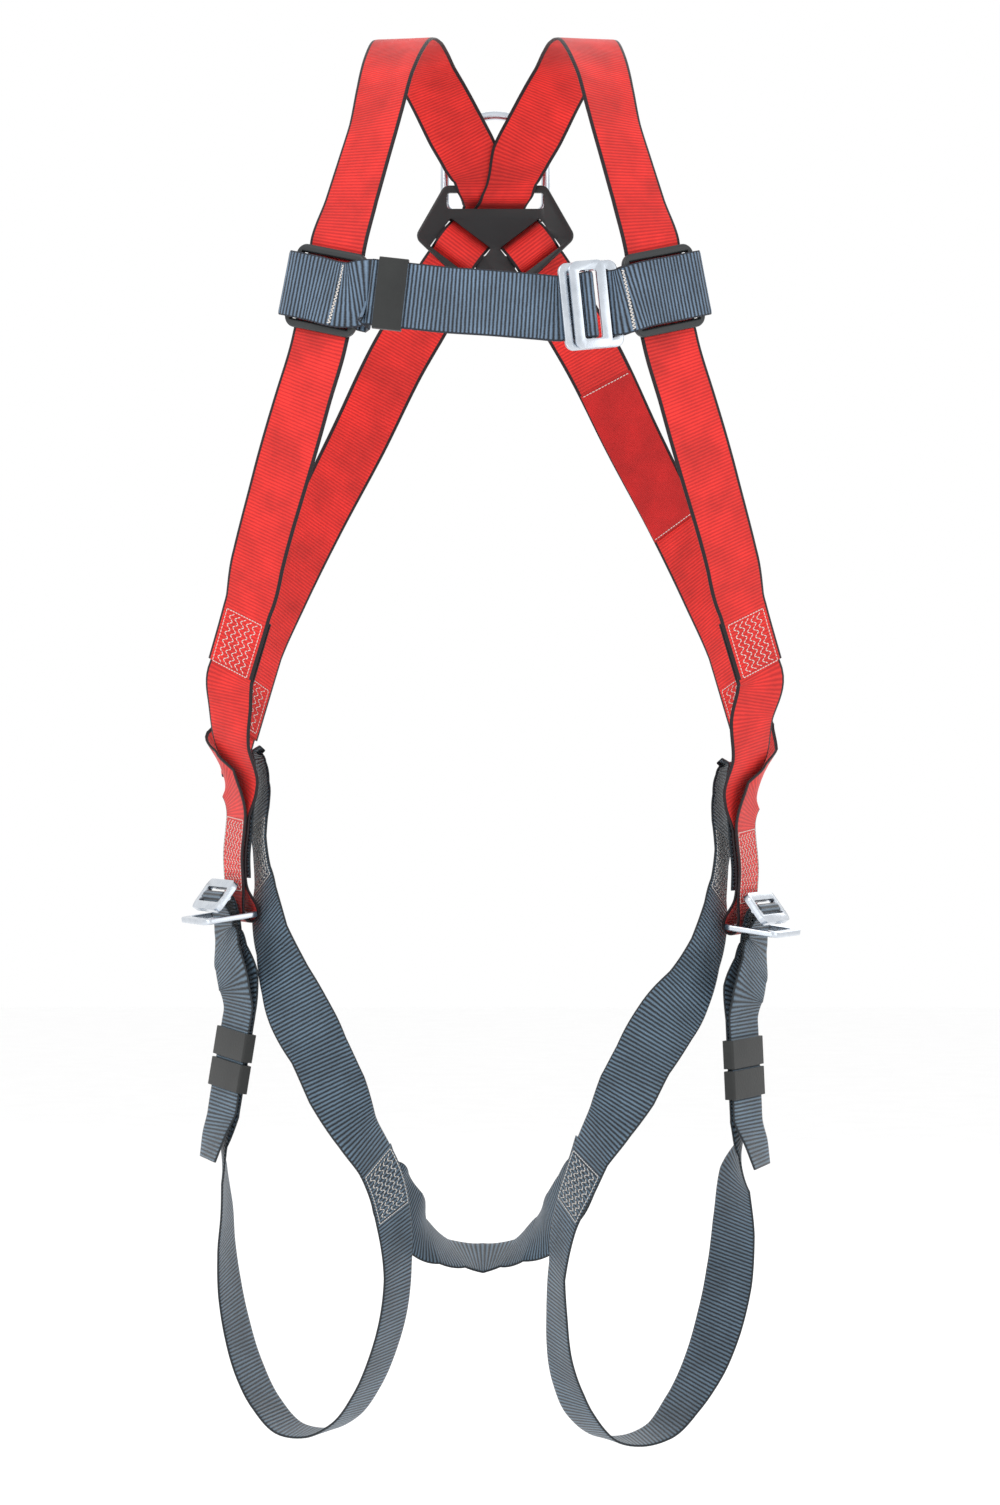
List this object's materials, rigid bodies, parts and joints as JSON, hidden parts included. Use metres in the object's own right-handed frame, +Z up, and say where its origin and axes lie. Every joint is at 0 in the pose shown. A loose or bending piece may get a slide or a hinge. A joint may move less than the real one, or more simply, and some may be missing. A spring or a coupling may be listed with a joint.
{
  "type": "safety harness",
  "caption": "Full-body fall-arrest harness with red shoulder and hip straps, grey thigh straps, chest strap with slides and buckle, back plate with D-ring and leg buckles",
  "frame": {"origin": "midway between the shoulders, level with the tops of the shoulder straps", "axes": "+Z up, the wearer faces -Y, +X is the wearer's left"},
  "size_m": [0.445, 0.2739, 1.0064],
  "materials": {
    "webbing_red": "woven polyester webbing, red with dark edge lines",
    "webbing_slate": "ribbed woven polyester webbing, slate grey",
    "webbing_navy": "ribbed woven polyester webbing, blue-grey",
    "plate_plastic": "satin black moulded plastic",
    "slide_plastic": "dark grey moulded plastic",
    "steel": "zinc plated forged and stamped steel",
    "label_cover": "thin dark woven ribbon",
    "elastic": "olive black woven elastic"
  },
  "bodies": {
    "webbing": {"dorsal_plate": "plate_plastic", "shoulder_strap_right": "webbing_red", "shoulder_strap_left": "webbing_red", "hip_strap_right": "webbing_red", "hip_strap_left": "webbing_red", "thigh_strap_right": "webbing_slate", "thigh_strap_left": "webbing_slate", "seat_strap": "webbing_slate", "chest_strap_adjustable": "webbing_navy", "chest_strap_fixed": "webbing_navy", "chest_slide_right": "slide_plastic", "chest_slide_left": "slide_plastic", "chest_buckle_female": "steel", "leg_buckle_female_right": "steel", "leg_buckle_female_left": "steel", "label_sleeve": "label_cover"},
    "dorsal_ring": {"dorsal_d_ring": "steel"},
    "chest_tongue": {"chest_buckle_male": "steel"},
    "leg_tongue_right": {"leg_buckle_male_right": "steel"},
    "leg_tongue_left": {"leg_buckle_male_left": "steel"},
    "chest_keeper": {"chest_keeper": "elastic"},
    "leg_keeper_lower_right": {"leg_keeper_lower_right": "elastic"},
    "leg_keeper_lower_left": {"leg_keeper_lower_left": "elastic"},
    "leg_keeper_upper_right": {"leg_keeper_upper_right": "elastic"},
    "leg_keeper_upper_left": {"leg_keeper_upper_left": "elastic"}
  },
  "joints": [
    {"name": "dorsal_ring_swing", "type": "hinge", "parent": "webbing", "child": "dorsal_ring", "pos_m": [0, 0.1206, -0.1095], "axis": [-1, 0, 0], "range_deg": [0, 115]},
    {"name": "chest_buckle_tilt", "type": "hinge", "parent": "webbing", "child": "chest_tongue", "pos_m": [0.06488, -0.13731, -0.20491], "axis": [-0.1019, -0.0005, 0.9948], "range_deg": [-6, 6]},
    {"name": "leg_buckle_tilt_right", "type": "hinge", "parent": "webbing", "child": "leg_tongue_right", "pos_m": [-0.19873, -0.00884, -0.614], "axis": [0.36, -0.933, 0], "range_deg": [-18, 6]},
    {"name": "leg_buckle_tilt_left", "type": "hinge", "parent": "webbing", "child": "leg_tongue_left", "pos_m": [0.19273, -0.00884, -0.623], "axis": [0.36, 0.933, 0], "range_deg": [-18, 6]},
    {"name": "chest_keeper_slide", "type": "slide", "parent": "webbing", "child": "chest_keeper", "axis": [0.9921, -0.0518, -0.1143], "range_m": [0, 0.012]},
    {"name": "leg_keeper_lower_slide_right", "type": "slide", "parent": "webbing", "child": "leg_keeper_lower_right", "axis": [0.1585, 0, 0.9874], "range_m": [-0.01, 0]},
    {"name": "leg_keeper_upper_slide_right", "type": "slide", "parent": "webbing", "child": "leg_keeper_upper_right", "axis": [0.1585, 0, 0.9874], "range_m": [0, 0.01]},
    {"name": "leg_keeper_lower_slide_left", "type": "slide", "parent": "webbing", "child": "leg_keeper_lower_left", "axis": [-0.0457, 0, 0.999], "range_m": [-0.01, 0]},
    {"name": "leg_keeper_upper_slide_left", "type": "slide", "parent": "webbing", "child": "leg_keeper_upper_left", "axis": [-0.0457, 0, 0.999], "range_m": [0, 0.01]}
  ]
}
